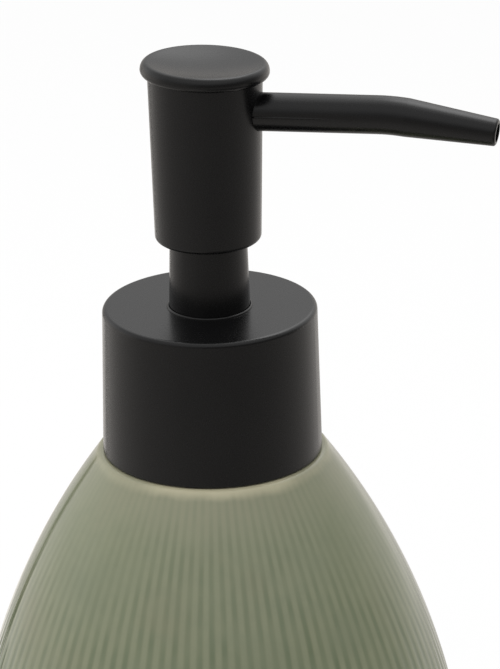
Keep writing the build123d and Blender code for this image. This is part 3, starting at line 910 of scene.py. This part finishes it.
def without(nodes, level, share):
    """A level less a share of itself."""
    return nodes.calc("MULTIPLY", level, nodes.calc("SUBTRACT", 1.0, share))


def around(nodes, angle):
    """The level round the horizon."""
    ramp = nodes.add("ValToRGB", {0: nodes.between(angle, -math.pi, math.pi, kind="LINEAR")})
    stops = ramp.color_ramp.elements
    stops.remove(stops[1])
    for number, (degrees, level) in enumerate(AROUND):
        share = (degrees + 180) / 360
        stop = stops[0] if number == 0 else stops.new(share)
        stop.position = share
        stop.color = (level, level, level, 1.0)
    return ramp.outputs[0]


def horizon(nodes, angle, height):
    """The table and the room, with a tall soft panel on the left, a weaker one on the right and
    a little light from low in front."""
    panel_rise = (PANEL_LEFT - PANEL_SOFT, PANEL_LEFT + PANEL_SOFT)
    panel_fall = (PANEL_RIGHT, PANEL_RIGHT + PANEL_CRISP)
    glow_rise = (GLOW_LEFT - GLOW_SOFT, GLOW_LEFT + GLOW_SOFT)
    glow_fall = (GLOW_RIGHT - GLOW_SOFT, GLOW_RIGHT + GLOW_SOFT)
    panel = nodes.calc("MULTIPLY", within(nodes, angle, panel_rise, panel_fall), PANEL_LEVEL)
    glow = nodes.calc("MULTIPLY", within(nodes, angle, glow_rise, glow_fall), GLOW_LEVEL)
    standing = nodes.calc("ADD", panel, glow)
    fringe = nodes.calc("MULTIPLY", within(nodes, angle, FRINGE_RISE, FRINGE_FALL), FRINGE_LEVEL)
    lift = nodes.calc("ADD", fringe, LIFT_LEVEL)
    return nodes.chain(
        "ADD",
        around(nodes, angle),
        nodes.calc("MULTIPLY", standing, above(nodes, height, PANEL_FOOT)),
        nodes.calc("MULTIPLY", lift, below(nodes, height, LIFT_TOP)),
    )


def dark_gap(nodes, angle, height):
    """The narrow dark gap beside the left panel, below the horizon."""
    rise = (GAP_LEFT - GAP_CRISP, GAP_LEFT)
    fall = (GAP_RIGHT, GAP_RIGHT + GAP_CRISP)
    return nodes.calc("MULTIPLY", within(nodes, angle, rise, fall), below(nodes, height, GAP_TOP))


def dips(nodes, far, right, height):
    """The dimmer stretches of the horizon, on the far side and on the near right."""
    near_dip = nodes.between(right, *NEAR_DIP_SPAN, 0.0, NEAR_DIP)
    far_dip = nodes.between(far, *FAR_DIP_SPAN, 0.0, FAR_DIP)
    band = within(nodes, height, DIP_FOOT, DIP_TOP)
    return nodes.calc("MULTIPLY", band, nodes.calc("MAXIMUM", near_dip, far_dip))


def overhead(nodes, way, ahead, aside):
    """A soft box overhead with a halo round it, and a small window below them."""
    box = heading(ahead, aside, OVERHEAD_TURN, OVERHEAD_RISE)
    window = heading(ahead, aside, WINDOW_TURN, WINDOW_RISE)
    return nodes.chain(
        "ADD",
        patch(nodes, way, box, OVERHEAD_INNER, OVERHEAD_OUTER, OVERHEAD_LEVEL),
        patch(nodes, way, box, HALO_INNER, HALO_OUTER, HALO_LEVEL),
        patch(nodes, way, window, WINDOW_INNER, WINDOW_OUTER, WINDOW_LEVEL),
    )


def panels(nodes, way, height):
    """How bright gloss sees the studio in a direction: the horizon and what stands on it, the
    table's bounce below, the room above and the lights overhead."""
    ahead = (-math.sin(CAMERA_TURN), math.cos(CAMERA_TURN), 0)
    aside = (math.cos(CAMERA_TURN), math.sin(CAMERA_TURN), 0)
    far = dot(nodes, way, ahead)
    right = dot(nodes, way, heading(ahead, aside, DARK_TURN))
    angle = nodes.calc("ARCTAN2", dot(nodes, way, aside), far)
    level = horizon(nodes, angle, height)
    level = without(nodes, level, dark_gap(nodes, angle, height))
    level = without(nodes, level, dips(nodes, far, right, height))
    bounce = nodes.between(right, *BOUNCE_SPAN, BOUNCE_LEFT, BOUNCE_RIGHT)
    level = nodes.mix(below(nodes, height, BOUNCE_TOP), level, bounce)
    level = nodes.mix(above(nodes, height, ROOM_FOOT), level, ROOM_LEVEL)
    return nodes.calc("ADD", level, overhead(nodes, way, ahead, aside))


def studio():
    """A white room: plain white to the camera, the studio's panels to gloss, and a soft even
    light, a little stronger from above, elsewhere."""
    world = bpy.data.worlds.new("studio")
    world.use_nodes = True
    nodes = Nodes(world.node_tree)
    way = nodes.add("TexCoord").outputs["Generated"]
    height = dot(nodes, way, (0, 0, 1))
    tint = nodes.blend(above(nodes, height, WHITE_FOOT), WARM, WHITE)
    level = nodes.between(height, *AMBIENT_SPAN, AMBIENT_LOW, AMBIENT_HIGH)
    shown = nodes.light("Background", tint, panels(nodes, way, height))
    soft = nodes.light("Background", (*WHITE, 1.0), level)
    plain = nodes.light("Background", (*WHITE, 1.0), 1.0)
    path = nodes.add("LightPath").outputs
    straight = nodes.calc("MAXIMUM", path["Is Camera Ray"], path["Is Transmission Ray"])
    lit = nodes.shade(path["Is Glossy Ray"], soft, shown)
    nodes.add("OutputWorld", {0: nodes.shade(straight, lit, plain)})
    bpy.context.scene.world = world


def floor():
    """A plain pale floor that the camera sees as white, with the object's shadow on it."""
    half = FLOOR_SIZE / 2
    corners = [(-half, -half, 0), (half, -half, 0), (half, half, 0), (-half, half, 0)]
    made = mesh_object("floor", corners, [(0, 1, 2, 3)], smooth=False)
    made.location.z = -FLOOR_DROP
    material = bpy.data.materials.new("pale_floor")
    material.use_nodes = True
    nodes = Nodes(material.node_tree)
    speck = nodes.noise(nodes.add("TexCoord").outputs["Object"], FLOOR_GRAIN)
    colour = nodes.blend(speck, (FLOOR_WHITE,) * 3, (FLOOR_WHITE + FLOOR_SPECK,) * 3)
    paper = nodes.add("BsdfDiffuse", {"Color": colour}).outputs[0]
    glow = nodes.light("Emission", (*WHITE, 1.0), 1.0)
    share = nodes.calc("MULTIPLY", seen(nodes), FLOOR_GLOW)
    nodes.add("OutputMaterial", {0: nodes.shade(share, paper, glow)})
    dress(made, material)
    made.visible_glossy = False


def softbox(name, place, aim, size, power):
    """A large square lamp turned towards a point."""
    lamp = bpy.data.lights.new(name, "AREA")
    lamp.shape = "SQUARE"
    lamp.size = size
    lamp.energy = power
    made = bpy.data.objects.new(name, lamp)
    made.location = place
    way = Vector(aim) - Vector(place)
    made.rotation_euler = way.to_track_quat("-Z", "Y").to_euler()
    made.visible_glossy = False
    bpy.context.scene.collection.objects.link(made)
    return made


def camera():
    """The camera, above and to the right of the dispenser's front, with a long lens."""
    drop, turn, roll = CAMERA_DROP, CAMERA_TURN, CAMERA_ROLL
    ahead = Vector((
        -math.sin(turn) * math.cos(drop),
        math.cos(turn) * math.cos(drop),
        -math.sin(drop),
    ))
    level = Vector((math.cos(turn), math.sin(turn), 0))
    upright = level.cross(ahead)
    aside = level * math.cos(roll) + upright * math.sin(roll)
    up = upright * math.cos(roll) - level * math.sin(roll)
    place = CAMERA_AIM + aside * CAMERA_ASIDE + up * CAMERA_UP - ahead * CAMERA_DISTANCE
    lens = bpy.data.cameras.new("camera")
    lens.sensor_width = SENSOR_W
    lens.lens = LENS
    lens.clip_end = CLIP_END
    made = bpy.data.objects.new("camera", lens)
    turned_to = Matrix((aside, up, -ahead)).transposed().to_4x4()
    made.matrix_world = Matrix.Translation(place) @ turned_to
    bpy.context.scene.collection.objects.link(made)
    bpy.context.scene.camera = made


# ---- Build ----

# The finish of each slot in the record
FINISHES = {
    "glaze": glaze(),
    "black_plastic": plastic(
        "black_satin", (0.0028, 0.0028, 0.0030), (0.0036, 0.0036, 0.0037),
        rough=0.25, specular=0.5, grain=0.05,
    ),
    "inner_plastic": plastic(
        "natural_plastic", (0.72, 0.72, 0.69), (0.80, 0.80, 0.77),
        rough=0.38, specular=0.5, grain=0.2,
    ),
    "neck_plastic": plastic(
        "neck_black", (0.022, 0.022, 0.021), (0.028, 0.027, 0.026),
        rough=0.42, specular=0.4, grain=0.3,
    ),
    "seal": rubber(),
    "spring_steel": drawn_wire(),
    "ball_glass": ball_glass(),
}

# Name, place, aim, side in metres and power in watts of each lamp
SOFTBOXES = (
    ("top_softbox", (0.0, 0.1, 1.3), (0, 0, 0.1), 1.0, 9.0),
    ("left_softbox", (-1.1, -0.35, 0.6), (0, 0, 0.08), 0.9, 4.0),
)


def finish_nodes():
    """Gives every CAD node the material of the slot that the record names for it."""
    for part in frame["record"]["subparts"]:
        for place in frame["nodes"][part["node"]].material_slots:
            place.material = FINISHES[part["material_slot"]]


def join(piece, body, slot):
    """Dresses a piece from its slot and lets it ride on its body."""
    dress(piece, FINISHES[slot])
    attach(piece, body)
    return piece


finish_nodes()

bottle = join(glazed_bottle(), "bottle", "glaze")
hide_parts("bottle")

join(
    thread("neck_thread", NECK_THREAD_ROOT_R, NECK_THREAD_CREST_R, NECK_THREAD_Z),
    "bottle", "neck_plastic",
)
join(
    thread("cap_thread", CAP_THREAD_ROOT_R, CAP_THREAD_CREST_R, NECK_THREAD_Z + THREAD_PITCH / 2),
    "collar", "neck_plastic",
)

wire = join(spring(), "pump", "spring_steel")
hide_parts("return_spring")
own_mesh(wire)

head_disc = join(disc(), "head", "black_plastic")
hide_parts("head_cap")
join(hole_lip(), "collar", "black_plastic")
join(spout_seam("spout_seam_front", -1), "head", "black_plastic")
join(spout_seam("spout_seam_back", 1), "head", "black_plastic")

studio()
floor()
camera()
for name, place, aim, size, power in SOFTBOXES:
    softbox(name, place, aim, size, power)

bpy.context.scene.view_settings.view_transform = "Standard"
